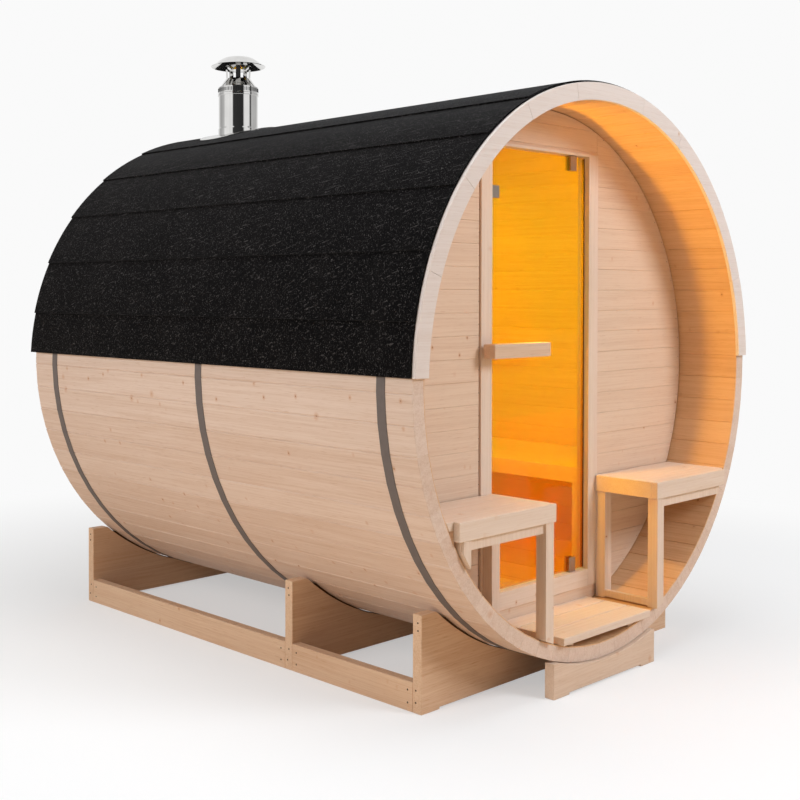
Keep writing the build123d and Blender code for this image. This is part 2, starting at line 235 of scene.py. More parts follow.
class Nodes:
    """A tree of nodes, with one way to add any node."""

    def __init__(self, tree):
        self.tree = tree
        self.tree.nodes.clear()

    def link(self, start, end):
        self.tree.links.new(start, end)

    def add(self, kind, values=None, stops=(), **settings):
        """Adds a node: its settings and a ramp's stops first, then its sockets' numbers or links."""
        made = self.tree.nodes.new("ShaderNode" + kind)
        for key, value in settings.items():
            setattr(made, key, value)
        for index, (position, colour) in enumerate(stops):
            elements = made.color_ramp.elements
            if index == 0:
                elements.remove(elements[-1])
                elements[0].position = position
                elements[0].color = colour
            else:
                elements.new(position).color = colour
        self.fill(made, values or {})
        return made

    def fill(self, made, values):
        for key, value in values.items():
            if isinstance(value, Value):
                self.link(value.socket, made.inputs[key])
            else:
                made.inputs[key].default_value = value

    def node(self, kind, values=None, output=0, **settings):
        """One output of a new node."""
        return Value(self, self.add(kind, values, **settings).outputs[output])

    def place(self):
        return self.node("TexCoord", output="Object")

    def axes(self):
        parts = self.add("SeparateXYZ", {0: self.place()})
        return [Value(self, socket) for socket in parts.outputs]

    def join(self, x, y, z):
        return self.node("CombineXYZ", {0: x, 1: y, 2: z})

    def noise(self, vector, scale, detail=2.0, roughness=0.5):
        values = {"Vector": vector, "Scale": scale, "Detail": detail, "Roughness": roughness}
        return self.node("TexNoise", values)

    def mix(self, factor, first, second):
        values = {0: factor, 6: first, 7: second}
        return self.node("Mix", values, output=2, data_type="RGBA")


class Recipe(Nodes):
    """A material of one shader."""

    def __init__(self, name):
        self.material = bpy.data.materials.new(name)
        self.material.use_nodes = True
        super().__init__(self.material.node_tree)
        self.shader = self.add("BsdfPrincipled")
        self.surface = Value(self, self.shader.outputs[0])
        self.output = self.add("OutputMaterial", {0: self.surface})

    def bump(self, height, strength, distance):
        values = {"Strength": strength, "Distance": distance, "Height": height}
        return self.node("Bump", values)

    def finish(self, **values):
        """Fills the shader's sockets and gives back the material."""
        self.fill(self.shader, {key.replace("_", " "): value for key, value in values.items()})
        return self.material


def total(values):
    """Values added up from the first one on."""
    first, *rest = values
    return sum(rest, first)


def wood(name, along, colours, spread=0.3, knots=0.965, inside=None):
    """Planed spruce: fine grain along one axis, knots, and a tone for each board.

    The inside colours, warmer than the outside ones, paint the cabin lamps' warm light onto the barrel's
    lining.
    The knots' number is the share of their cells that stays clear.
    """
    pale, dark = colours
    recipe = Recipe(name)
    board = recipe.node("Attribute", output="Fac", attribute_name="board")
    x, y, z = recipe.axes()
    axes = {"X": x, "Y": y, "Z": z}
    length = axes.pop(along)
    first, second = axes.values()
    shift = board * BOARD_SHIFT

    def streaks(sides, ripples, lengthways, detail, roughness=0.5):
        """Noise that is fine across the boards and drawn out along them."""
        across, through = sides
        vector = recipe.join(across * ripples + shift, through * ripples, lengthways)
        return recipe.noise(vector, 1.0, detail, roughness)

    straight = (first, second)
    drift = streaks(straight, 3, length * 1.6, 2.0) * 0.02
    drifting = (first + drift, second + drift)
    fine = streaks(drifting, 190, length * 2.4, 3.0, 0.6)
    broad = streaks(drifting, 42, length * 1.3 + shift, 2.0)
    cloud = streaks(straight, 2, length * 2.5, 2.0)
    dashes = streaks(straight, 420, length * 20, 1.0).to(0.60, 0.78)
    tone = board * spread + broad.to(0.3, 0.75) * 0.24 + fine.to(0.3, 0.75) * 0.46 + cloud * 0.3
    tone = tone + dashes * 0.6 - 0.36
    colour = recipe.mix(tone, linear(*pale), linear(*dark))
    # The lining takes warmer colours: painted warm light from the cabin's lamps
    if inside:
        out = ((z - AXIS) * (z - AXIS) + x * x).maths("SQRT")
        lining_face = RADIUS - STAVE_THICKNESS
        lamp_warmed = recipe.mix(tone, linear(*inside[0]), linear(*inside[1]))
        colour = recipe.mix(out.to(lining_face + 0.002, lining_face + 0.004, 1.0, 0.0), colour, lamp_warmed)
    heart = scaled(dark, *KNOT_HEART)
    ring = scaled(dark, *KNOT_RING)
    wobble = recipe.noise(recipe.place(), 110.0, 2.0) * 0.08
    spots = []
    for across, lengthways, size in (SMALL_KNOTS, LARGE_KNOTS):
        cells = recipe.join(first * across + shift, second * across, length * lengthways + shift)
        spot = {"Vector": cells, "Scale": 1.0, "Randomness": 0.85}
        near = recipe.node("TexVoronoi", spot, output="Distance") + wobble
        draw = recipe.node("TexVoronoi", spot, output="Color")
        chosen = recipe.node("SeparateColor", {0: draw}) > knots
        colour = recipe.mix(near.to(size, size * 3.0, 0.5, 0.0) * chosen, colour, ring)
        knot = near.to(size * 0.6, size * 1.15, 1.0, 0.0) * chosen
        colour = recipe.mix(knot * 0.85, colour, heart)
        spots.append(knot)
    rough = fine.to(0.2, 0.8, 0.52, 0.68)
    normal = recipe.bump(fine + broad * 0.4 + total(spots) * 0.5, 0.3, 0.0007)
    return recipe.finish(Base_Color=colour, Roughness=rough, Normal=normal, Specular_IOR_Level=0.35)


def felt():
    """Black felt, with a web of fine fibres, pale specks and smaller flecks."""
    recipe = Recipe("roof felt")
    x, y, z = recipe.axes()
    cloud = recipe.noise(recipe.place(), 5.0, 5.0, 0.7)
    grain = recipe.noise(recipe.place(), 460.0, 2.0)
    lines = []
    for over, back, slant in ((70, 330, -60), (-150, 260, 110), (330, 60, 90), (210, -170, 60)):
        turned = recipe.join(x * over + y * back, x * slant + y * 24, z * 130 + y * 12)
        lines.append(recipe.noise(turned, 1.0, 1.0).to(0.64, 0.78))
    fibres = total(lines)
    specks = recipe.noise(recipe.place(), 150.0, 1.0).to(0.72, 0.82)
    flecks = recipe.noise(recipe.place(), 330.0, 0.0).to(0.74, 0.86)
    tone = cloud.to(0.4, 0.8) * 0.02 + grain * 0.01 + fibres * 0.22 + specks * 0.5 + flecks * 0.5
    colour = recipe.mix(tone, linear(*FELT[0]), linear(*FELT[1]))
    normal = recipe.bump(grain * 0.6 + cloud * 2 + fibres * 0.6 + specks, 0.5, 0.0012)
    rough = cloud.to(0.3, 0.8, 0.88, 0.97)
    return recipe.finish(
        Base_Color=colour, Roughness=rough, Normal=normal, Specular_IOR_Level=0.05,
        Sheen_Weight=0.05, Sheen_Roughness=0.4,
    )


def steel(name, colour, rough, along="Z"):
    """Sheet steel with fine drawn lines and faint clouding."""
    recipe = Recipe(name)
    axes = dict(zip("XYZ", recipe.axes()))
    stretched = [value * (4.0 if key == along else 90.0) for key, value in axes.items()]
    drawn = recipe.noise(recipe.join(*stretched), 1.0, 2.0)
    cloud = recipe.noise(recipe.place(), 9.0, 3.0)
    deep = scaled(colour, 0.82, 0.82, 0.82)
    shade = recipe.mix(drawn * 0.5 + cloud * 0.5, linear(*colour), deep)
    gloss = cloud.to(0.3, 0.7, rough, rough * 1.35)
    normal = recipe.bump(drawn, 0.05, 0.0002)
    return recipe.finish(Base_Color=shade, Roughness=gloss, Normal=normal, Metallic=1.0)


def plain(name, colour, rough, lift=1.6):
    """One colour, faintly clouded."""
    recipe = Recipe(name)
    cloud = recipe.noise(recipe.place(), 40.0, 3.0)
    shade = recipe.mix(cloud, linear(*colour), scaled(colour, lift, lift, lift))
    gloss = cloud.to(0.3, 0.7, rough * 0.94, rough)
    return recipe.finish(Base_Color=shade, Roughness=gloss, Specular_IOR_Level=0.2)


def amber_glass():
    """Clear amber glass, deeper towards its foot, that lets the lamps' light through."""
    recipe = Recipe("amber glass")
    height = recipe.axes()[2]
    cloud = recipe.noise(recipe.place(), 2.2, 1.0)
    deeper = (height + cloud * 0.1).to(AXIS - 0.75, AXIS + 0.70, 1.0, 0.0)
    colour = recipe.mix(deeper, linear(*GLASS[0]), linear(*GLASS[1]))
    rough = cloud.to(0.3, 0.7, 0.02, 0.05)
    clear = deeper.to(0.0, 1.0, 0.22, 0.32)
    return recipe.finish(
        Base_Color=colour, Roughness=rough, Alpha=clear, IOR=1.5, Specular_IOR_Level=0.12
    )


materials = {
    "stave": wood("spruce staves", "Y", BOARDS, inside=WARM_LIT_LINING),
    "wall": wood("spruce wall boards", "X", WALL_BOARDS, spread=0.12, knots=0.975),
    "upright": wood("spruce uprights", "Z", FRAME_WOOD, spread=0.2, knots=0.98),
    "across": wood("spruce across", "X", FRAME_WOOD, spread=0.2, knots=0.96),
    "lengthways": wood("spruce lengthways", "Y", FRAME_WOOD, spread=0.2, knots=0.96),
    "trim": wood("spruce trim", "X", TRIM_WOOD, spread=0.2, knots=0.985),
    "support": wood("spruce support", "X", SUPPORT_WOOD, spread=0.2, knots=0.95),
    "base": wood("spruce base", "X", BASE_WOOD, knots=0.97),
    "base_rail": wood("spruce base rails", "Y", BASE_WOOD, knots=0.97),
    "handle": wood("spruce handle", "X", HANDLE_WOOD, knots=0.985),
    "felt": felt(),
    # The dark strips under the barrel are painted shadow
    "shadow_strips": plain("painted shadow strip", (62, 42, 28), 0.95),
    # The strips beside the jambs are dark with painted shade
    "painted_seam_shadow": plain("seam shade", (112, 62, 34), 0.9),
    # The strip beside the glass is dark with painted shade
    "painted_gap_shadow": plain("seal shade", (58, 42, 26), 0.8, lift=1.1),
    "hoop": plain("hoop steel", (103, 96, 94), 0.7, lift=1.15),
    "fitting": steel("fitting steel", (188, 172, 158), 0.3),
    "chimney": steel("chimney steel", (238, 237, 235), 0.06),
    "flashing": steel("flashing steel", (225, 224, 222), 0.2, along="Y"),
    "screw": steel("screw steel", (96, 76, 62), 0.5),
    # The collar's slots are dark with painted shade
    "painted_slot_shadow": plain("slot shade", (20, 19, 19), 0.8),
    "glass": amber_glass(),
}


# Ways to make a piece
def only(obj):
    """Selects one piece alone and makes it the active one."""
    bpy.ops.object.select_all(action="DESELECT")
    obj.select_set(True)
    bpy.context.view_layer.objects.active = obj


def settle(obj):
    """Puts the piece's place in its mesh."""
    only(obj)
    bpy.ops.object.transform_apply(location=True, rotation=True, scale=True)
    return obj


def box(low, high):
    """A plain block between two corners."""
    middle = [(a + b) / 2 for a, b in zip(low, high)]
    bpy.ops.object.select_all(action="DESELECT")
    bpy.ops.mesh.primitive_cube_add(size=1, location=middle)
    obj = bpy.context.object
    obj.scale = [abs(b - a) for a, b in zip(low, high)]
    return settle(obj)


def ease(obj, width):
    """Rounds over the sharp edges."""
    only(obj)
    rounding = obj.modifiers.new("ease", "BEVEL")
    rounding.width = width
    rounding.segments = 2
    rounding.limit_method = "ANGLE"
    rounding.angle_limit = EASED_ANGLE
    bpy.ops.object.modifier_apply(modifier="ease")
    bpy.ops.object.shade_smooth_by_angle(angle=SMOOTH_ANGLE)
    return obj


def chamfer(obj, chosen, width):
    """Cuts a flat along the edges that the test chooses by their two ends."""
    only(obj)
    bpy.ops.object.mode_set(mode="EDIT")
    bpy.ops.mesh.select_mode(type="EDGE")
    bpy.ops.mesh.select_all(action="DESELECT")
    bpy.ops.object.mode_set(mode="OBJECT")
    places = [vertex.co for vertex in obj.data.vertices]
    for edge in obj.data.edges:
        edge.select = chosen(places[edge.vertices[0]], places[edge.vertices[1]])
    bpy.ops.object.mode_set(mode="EDIT")
    bpy.ops.mesh.bevel(offset=width, segments=1, affect="EDGES")
    bpy.ops.object.mode_set(mode="OBJECT")


def select_points(obj, chosen):
    """Selects the points that the test chooses by their index and place, and stays in edit mode."""
    bpy.ops.object.mode_set(mode="EDIT")
    bpy.ops.mesh.select_mode(type="VERT")
    bpy.ops.mesh.select_all(action="DESELECT")
    bpy.ops.object.mode_set(mode="OBJECT")
    for vertex in obj.data.vertices:
        vertex.select = chosen(vertex.index, vertex.co)
    bpy.ops.object.mode_set(mode="EDIT")


def number(obj):
    """Gives one board its own tone and its own grain."""
    layer = obj.data.attributes.new("board", "FLOAT", "POINT")
    layer.data.foreach_set("value", [dice.random()] * len(obj.data.vertices))
    return obj


def twin(obj, move):
    """A copy of a piece with its own mesh, moved by a matrix."""
    made = obj.copy()
    made.data = obj.data.copy()
    bpy.context.scene.collection.objects.link(made)
    made.data.transform(move)
    return made


def turn_round_axis(degrees):
    """The matrix that turns a piece round the barrel's axis."""
    centre = Matrix.Translation((0, 0, AXIS))
    return centre @ Matrix.Rotation(math.radians(degrees), 4, "Y") @ centre.inverted()


def join(pieces, name):
    """One piece of several, without those that a cut left empty."""
    for piece in [piece for piece in pieces if not len(piece.data.vertices)]:
        bpy.data.objects.remove(piece, do_unlink=True)
        pieces.remove(piece)
    only(pieces[0])
    for piece in pieces:
        piece.select_set(True)
    bpy.ops.object.join()
    joined = bpy.context.object
    joined.name = name
    joined.data.name = name
    return joined


def give(obj, name, material, body="building", replaces=()):
    """Names a finished piece, gives it its material, and fixes it to its body."""
    obj.name = name
    obj.data.name = name
    obj.data.materials.clear()
    obj.data.materials.append(materials[material])
    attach(obj, body)
    if replaces:
        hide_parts(*replaces)
    return obj


def finish_solid(node, material):
    """Keeps a solid's shape and gives it its material."""
    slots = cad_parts[node].data.materials
    slots.clear()
    slots.append(materials[material])


def eased(node, material, width, body="building"):
    """A node's boards, eased at their edges, each with its own tone."""
    obj = bpy.data.objects.new(node + "_copy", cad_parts[node].data.copy())
    bpy.context.scene.collection.objects.link(obj)
    only(obj)
    bpy.ops.object.mode_set(mode="EDIT")
    bpy.ops.mesh.select_all(action="SELECT")
    bpy.ops.mesh.remove_doubles(threshold=SOLID_MERGE_DISTANCE)
    bpy.ops.mesh.dissolve_limited(angle_limit=FLAT_ANGLE)
    bpy.ops.mesh.separate(type="LOOSE")
    bpy.ops.object.mode_set(mode="OBJECT")
    pieces = [number(ease(piece, width)) for piece in list(bpy.context.selected_objects)]
    name = node + "_eased"
    return give(join(pieces, name), name, material, body, (node,))


def board(low, high):
    """A block with eased edges and a tone of its own."""
    return number(ease(box(low, high), BOARD_EASE))


def drop_crowded_points(obj, low, high, room):
    """Dissolves points of the arc that stand too near a cut's corner for its rounding."""
    bpy.ops.object.mode_set(mode="OBJECT")
    corners = []
    others = []
    for vertex in obj.data.vertices:
        away = [abs(vertex.co[axis] - end[axis]) for axis in (0, 2) for end in (low, high)]
        (corners if min(away) < MERGE_DISTANCE else others).append((vertex.index, vertex.co.copy()))
    crowded = {
        index for index, place in others
        if min((place - corner).length for _, corner in corners) < room
    }
    select_points(obj, lambda index, place: index in crowded)
    if crowded:
        bpy.ops.mesh.dissolve_verts()


def barrel_board(low, high, width=BOARD_EASE):
    """A board as far as it reaches inside the barrel: a slice of the lining's circle, thickened."""
    bpy.ops.object.select_all(action="DESELECT")
    bpy.ops.mesh.primitive_circle_add(
        vertices=CIRCLE_POINTS, radius=LINING_RADIUS, fill_type="NGON",
        location=(0, low[1], AXIS), rotation=(math.pi / 2, 0, 0),
    )
    obj = settle(bpy.context.object)
    bpy.ops.object.mode_set(mode="EDIT")
    for place, facing in ((low, (-1, 0, 0)), (low, (0, 0, -1)), (high, (1, 0, 0)), (high, (0, 0, 1))):
        bpy.ops.mesh.select_all(action="SELECT")
        bpy.ops.mesh.bisect(plane_co=place, plane_no=facing, clear_outer=True)
    drop_crowded_points(obj, low, high, width * CORNER_ROOM)
    bpy.ops.mesh.select_all(action="SELECT")
    bpy.ops.mesh.extrude_region_move(TRANSFORM_OT_translate={"value": (0, high[1] - low[1], 0)})
    bpy.ops.mesh.select_all(action="SELECT")
    bpy.ops.mesh.normals_make_consistent(inside=False)
    bpy.ops.object.mode_set(mode="OBJECT")
    return number(ease(obj, width))


def arc_piece(angles, radii, depths):
    """A flat bar bent round the barrel's axis, from one angle to another."""
    first, last = angles
    inner, outer = radii
    y0, y1 = depths
    bpy.ops.object.select_all(action="DESELECT")
    bpy.ops.mesh.primitive_plane_add(size=1)
    arc = bpy.context.object
    arc.scale = (outer - inner, y1 - y0, 1)
    arc.location = ((outer + inner) / 2, (y1 + y0) / 2, AXIS)
    settle(arc)
    arc.data.transform(turn_round_axis(-first))
    bpy.ops.object.mode_set(mode="EDIT")
    bpy.ops.mesh.select_all(action="SELECT")
    bpy.ops.mesh.spin(
        steps=max(FEWEST_ARC_STEPS, round((last - first) / ARC_STEP)),
        angle=math.radians(last - first), center=(0, 0, AXIS), axis=(0, 1, 0),
    )
    bpy.ops.mesh.select_all(action="SELECT")
    bpy.ops.mesh.remove_doubles(threshold=MERGE_DISTANCE)
    bpy.ops.mesh.normals_make_consistent(inside=False)
    bpy.ops.object.mode_set(mode="OBJECT")
    return number(ease(arc, TRIM_EASE))


def heads(name, places, facing, radius):
    """Screw or nail heads, one shape copied to each place and turned to face a way."""
    bpy.ops.object.select_all(action="DESELECT")
    bpy.ops.mesh.primitive_cylinder_add(
        vertices=HEAD_SIDES, radius=radius, depth=radius * HEAD_DEPTH
    )
    model = bpy.context.object
    chamfer(model, lambda a, b: a.z > 0 and b.z > 0, radius * HEAD_CHAMFER)
    turn = Vector((0, 0, 1)).rotation_difference(Vector(facing)).to_matrix().to_4x4()
    pieces = [twin(model, Matrix.Translation(place) @ turn) for place in places]
    bpy.data.objects.remove(model, do_unlink=True)
    return give(join(pieces, name), name, "screw")


def reach_at(height):
    """How far the barrel's inside reaches from its middle at a height."""
    square = LINING_RADIUS ** 2 - (height - AXIS) ** 2
    return math.sqrt(square) if square > 0 else 0


def reach_up(across):
    """How far the barrel's inside reaches over its middle at a distance to the side."""
    return math.sqrt(LINING_RADIUS ** 2 - across ** 2)


# Staved shell: one stave, copied round the axis
shell_low, shell_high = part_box("staves_01")
FRONT = shell_low[1]
REAR = shell_high[1]
half_turn = math.pi / STAVE_COUNT
outer_half = RADIUS * math.sin(half_turn)
inner_radius = RADIUS - STAVE_THICKNESS
outer_face = AXIS + RADIUS * math.cos(half_turn)
inner_face = AXIS + inner_radius * math.cos(half_turn)
mid_face = (inner_face + outer_face) / 2
stave = box((-outer_half, FRONT, inner_face), (outer_half, REAR, outer_face))
select_points(stave, lambda index, place: place.z < mid_face)
bpy.ops.transform.resize(value=(inner_radius / RADIUS, 1, 1), center_override=(0, 0, inner_face))
bpy.ops.object.mode_set(mode="OBJECT")


def lengthwise(a, b):
    """Whether an edge runs along the barrel, from one end of the stave to the other."""
    return abs(a.y - b.y) > RADIUS


chamfer(stave, lambda a, b: lengthwise(a, b) and a.z > mid_face, STAVE_GROOVE)
chamfer(stave, lambda a, b: lengthwise(a, b) and a.z < mid_face, LINING_GROOVE)
chamfer(stave, lambda a, b: not lengthwise(a, b), STAVE_END_EASE)
only(stave)
bpy.ops.object.shade_smooth_by_angle(angle=STAVE_SMOOTH_ANGLE)

pipe_low, pipe_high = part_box("chimney_pipe")
pipe_middle = [(a + b) / 2 for a, b in zip(pipe_low, pipe_high)]
pipe_radius = (pipe_high[0] - pipe_low[0]) / 2


def drill_for_pipe(run):
    """Cuts the hole that the chimney's pipe goes through."""
    bpy.ops.object.select_all(action="DESELECT")
    bpy.ops.mesh.primitive_cylinder_add(
        vertices=PIPE_HOLE_SIDES, radius=pipe_radius + PIPE_HOLE_GAP, depth=1, location=pipe_middle
    )
    drill = bpy.context.object
    only(run)
    hole = run.modifiers.new("hole", "BOOLEAN")
    hole.operation = "DIFFERENCE"
    hole.solver = "EXACT"
    hole.use_self = True
    hole.object = drill
    bpy.ops.object.modifier_apply(modifier="hole")
    bpy.data.objects.remove(drill, do_unlink=True)


for segment in range(STAVE_COUNT // STAVES_PER_SEGMENT):
    pieces = []
    for index in range(segment * STAVES_PER_SEGMENT, (segment + 1) * STAVES_PER_SEGMENT):
        middle = STAVE_TURN + (index + 0.5) * 360 / STAVE_COUNT
        pieces.append(number(twin(stave, turn_round_axis(90 - middle))))
    node = f"staves_{segment + 1:02d}"
    run = join(pieces, node + "_boards")
    low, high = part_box(node)
    if low[0] < pipe_high[0] + PIPE_MARGIN and high[0] > pipe_low[0] - PIPE_MARGIN and high[2] > AXIS:
        drill_for_pipe(run)
    give(run, node + "_boards", "stave", replaces=(node,))
bpy.data.objects.remove(stave, do_unlink=True)

# End walls of level boards, nailed at their ends
nail_places = []
jamb_low, jamb_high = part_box("door_jamb_left")
right_low, right_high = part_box("door_jamb_right")


def wall_of_boards(node, joint=WALL_JOINT, side=0, width=BOARD_EASE):
    """The boards that fill one piece of an end wall.

    A piece beside the door, -1 for the left and 1 for the right, has a nail at each
    board's outer end and a gap beside the jamb.
    """
    (x0, y0, z0), (x1, y1, z1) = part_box(node)
    gap_left = JAMB_GAP if side > 0 else 0
    gap_right = JAMB_GAP if side < 0 else 0
    rows = []
    row = math.floor((z0 - joint) / WALL_BOARD)
    while joint + row * WALL_BOARD < z1 - LEAST_BOARD_HEIGHT:
        foot = max(z0, joint + row * WALL_BOARD)
        head = min(z1, joint + (row + 1) * WALL_BOARD)
        widest = LINING_RADIUS if foot < AXIS < head else max(reach_at(foot), reach_at(head))
        if head - foot > LEAST_BOARD_HEIGHT and widest > max(x0, -x1) + LEAST_BOARD_LENGTH:
            beside = head < jamb_high[2] + JAMB_TOP_MARGIN
            low = (x0 + gap_left * beside, y0, foot)
            high = (x1 - gap_right * beside, y1, head)
            rows.append(barrel_board(low, high, width))
        middle = (foot + head) / 2
        reach = reach_at(middle) - NAIL_FROM_STAVE
        if side and reach > abs(x1 if side < 0 else x0):
            nail_places.append((side * reach, y0, middle))
        row += 1
    give(join(rows, node + "_boards"), node + "_boards", "wall", replaces=(node,))


wall_of_boards("front_wall_left", side=-1)
wall_of_boards("front_wall_right", side=1)
wall_of_boards("front_wall_top", HEAD_JOINT)
wall_of_boards("front_wall_base")
wall_of_boards("rear_wall", width=REAR_WALL_EASE)
wall_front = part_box("front_wall_left")[0][1]
wall_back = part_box("front_wall_left")[1][1]
# Dark strips set in the gaps beside the jambs paint the shade in those gaps
for side, edge in (("left", jamb_low[0]), ("right", right_high[0])):
    outer = edge + math.copysign(JAMB_GAP, edge)
    x0, x1 = sorted((edge, outer))
    top = min(jamb_high[2], AXIS + reach_up(outer)) - SEAM_SHORT
    foot = max(jamb_low[2], AXIS - reach_up(outer)) + SEAM_SHORT
    strip = box((x0, wall_front + SEAM_DEPTH, foot), (x1, wall_back - SEAM_SHORT, top))
    give(number(strip), "seam_" + side, "painted_seam_shadow")
row_foot = WALL_JOINT
while row_foot > jamb_low[2]:
    row_foot -= WALL_BOARD
    if row_foot < jamb_high[2] - WALL_BOARD:
        middle = row_foot + WALL_BOARD / 2
        nail_places.append((right_high[0] + NAIL_FROM_JAMB, wall_front, middle))
        nail_places.append((jamb_low[0] - NAIL_FROM_JAMB, wall_front, middle))
heads("wall_nails", nail_places, (0, -1, 0), NAIL_RADIUS)

# Door frame and door
eased("door_jamb_left", "upright", JAMB_EASE)
eased("door_jamb_right", "upright", JAMB_EASE)
eased("door_head_and_sill", "across", HEAD_AND_SILL_EASE)
eased("door_handle", "handle", HANDLE_EASE, "door")
eased("door_pivots", "fitting", CLAMP_EASE, "door")
eased("door_strikes", "fitting", STRIKE_EASE, "door")
finish_solid("door_glass", "glass")

# A dark strip on the right jamb, beside the glass, paints the shade in the gap between them
glass_low, glass_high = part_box("door_glass")
gap_shadow_strip = box(
    (right_low[0] - GAP_SHADOW_WIDTH, glass_low[1] - GAP_SHADOW_BEFORE_GLASS, glass_low[2]),
    (right_low[0], glass_high[1] + GAP_SHADOW_BEHIND_GLASS, glass_high[2]),
)
give(number(gap_shadow_strip), "frame_seal", "painted_gap_shadow")


# Benches of boards
def porch_bench(node, side):
    """Seat boards behind a deep front board and beside a deep edge board."""
    low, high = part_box(node)
    inner = low[0] if side > 0 else high[0]
    edge = inner + side * FASCIA
    back = low[1] + FASCIA
    x0, x1 = sorted((inner, side * reach_at(low[2])))
    front_board = board((x0, low[1], low[2]), (x1, back, high[2]))
    x0, x1 = sorted((inner, edge))
    pieces = [front_board, board((x0, back, low[2]), (x1, high[1], high[2]))]
    x0, x1 = sorted((edge, side * RADIUS))
    span = (high[1] - back) / PORCH_SEAT_BOARDS
    for index in range(PORCH_SEAT_BOARDS):
        start = back + index * span
        pieces.append(barrel_board((x0, start, high[2] - SEAT_BOARD), (x1, start + span, high[2])))
    seat = join(pieces, node + "_boards")
    give(seat, node + "_boards", "across", replaces=(node,))


def cabin_bench(node):
    """Seat boards along the cabin beside a deep edge board."""
    low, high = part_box(node)
    edge = low[0] + FASCIA
    pieces = [board(low, (edge, high[1], high[2]))]
    span = (high[0] - edge) / CABIN_SEAT_BOARDS
    for index in range(CABIN_SEAT_BOARDS):
        start = edge + index * span
        foot = (start, low[1], high[2] - SEAT_BOARD)
        pieces.append(barrel_board(foot, (start + span - CABIN_SEAT_GAP, high[1], high[2])))
    seat = join(pieces, node + "_boards")
    give(seat, node + "_boards", "lengthways", replaces=(node,))


porch_bench("porch_seat_left", -1)
porch_bench("porch_seat_right", 1)
cabin_bench("cabin_bench")
eased("porch_seat_frame_left", "upright", BENCH_FRAME_EASE)
eased("porch_seat_frame_right", "upright", BENCH_FRAME_EASE)
eased("cabin_bench_legs", "upright", BENCH_FRAME_EASE)

# Floors
eased("porch_deck", "across", BOARD_EASE)
eased("cabin_floor", "across", BOARD_EASE)
eased("floor_joists", "lengthways", JOIST_EASE)

# Front trim: arcs of board, butted
trim_low, trim_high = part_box("front_trim")
trim_radii = (TRIM_INNER, trim_high[0])
trim_depths = (trim_low[1], trim_high[1])
slit = math.degrees(TRIM_SLIT / RADIUS / 2)
trim_pieces = []
for start, end in zip(TRIM_JOINTS, TRIM_JOINTS[1:]):
    first = start + (slit if start != TRIM_JOINTS[0] else 0)
    last = end - (slit if end != TRIM_JOINTS[-1] else 0)
    trim_pieces.append(arc_piece((first, last), trim_radii, trim_depths))
trim = join(trim_pieces, "front_trim_arcs")
give(trim, "front_trim_arcs", "trim", replaces=("front_trim",))

# Roof felt, which keeps its solids' shapes, and the hoops
finish_solid("roof_left", "felt")
finish_solid("roof_right", "felt")
finish_solid("roof_ridge", "felt")
eased("hoops", "hoop", HOOP_EASE)

# Base, with dark strips between the barrel and its cradles: painted shadow in the slits there
for node in CRADLES:
    eased(node, "base", BASE_EASE)
eased("front_support", "support", BASE_EASE)
eased("base_rails", "base_rail", BASE_EASE)
shadow_strips = []
for node in CRADLES:
    low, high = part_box(node)
    reach = math.degrees(math.acos((AXIS - high[2]) / RADIUS)) - SHADOW_STRIP_SHORT
    angles = (SHADOW_STRIP_MIDDLE - reach, SHADOW_STRIP_MIDDLE + reach)
    depths = (low[1] + SHADOW_STRIP_INSET, high[1] - SHADOW_STRIP_INSET)
    shadow_strips.append(arc_piece(angles, SHADOW_STRIP_RADII, depths))
give(join(shadow_strips, "cradle_packing"), "cradle_packing", "shadow_strips")

# Screws that hold the base together
screw_left = []
screw_right = []
for node in CRADLES:
    low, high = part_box(node)
    middle = (low[1] + high[1]) / 2
    for height in CRADLE_SCREW_HEIGHTS:
        screw_left.append((low[0], middle + dice.uniform(-SCREW_STRAY, SCREW_STRAY), height))
        screw_right.append((high[0], middle + dice.uniform(-SCREW_STRAY, SCREW_STRAY), height))
rails_low, rails_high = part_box("base_rails")
for node, ways in zip(CRADLES, ((1,), (-1, 1), (-1,))):
    low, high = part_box(node)
    for way in ways:
        place = (high[1] if way > 0 else low[1]) + way * RAIL_SCREW_INSET
        for height in RAIL_SCREW_HEIGHTS:
            screw_left.append((rails_low[0], place, height))
            screw_right.append((rails_high[0], place, height))
heads("base_screws_left", screw_left, (-1, 0, 0), SCREW_RADIUS)
heads("base_screws_right", screw_right, (1, 0, 0), SCREW_RADIUS)

# Chimney, with vent slots round its collar, drawn as dark boxes whose darkness is painted shade
finish_solid("chimney_pipe", "chimney")
finish_solid("chimney_cowl", "chimney")
finish_solid("chimney_flashing", "flashing")
cowl_low, cowl_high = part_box("chimney_cowl")
chimney = Matrix.Translation(((cowl_low[0] + cowl_high[0]) / 2, (cowl_low[1] + cowl_high[1]) / 2, 0))
slot_low = (SLOT_RADII[0], -SLOT_HALF_WIDTH, cowl_low[2] + SLOT_HEIGHTS[0])
slot_high = (SLOT_RADII[1], SLOT_HALF_WIDTH, cowl_low[2] + SLOT_HEIGHTS[1])
slot_model = ease(box(slot_low, slot_high), SLOT_EASE)
slots = []
for index in range(SLOT_COUNT):
    turn = Matrix.Rotation(2 * math.pi * index / SLOT_COUNT, 4, "Z")
    slots.append(twin(slot_model, chimney @ turn))
bpy.data.objects.remove(slot_model, do_unlink=True)
give(join(slots, "collar_slots"), "collar_slots", "painted_slot_shadow")

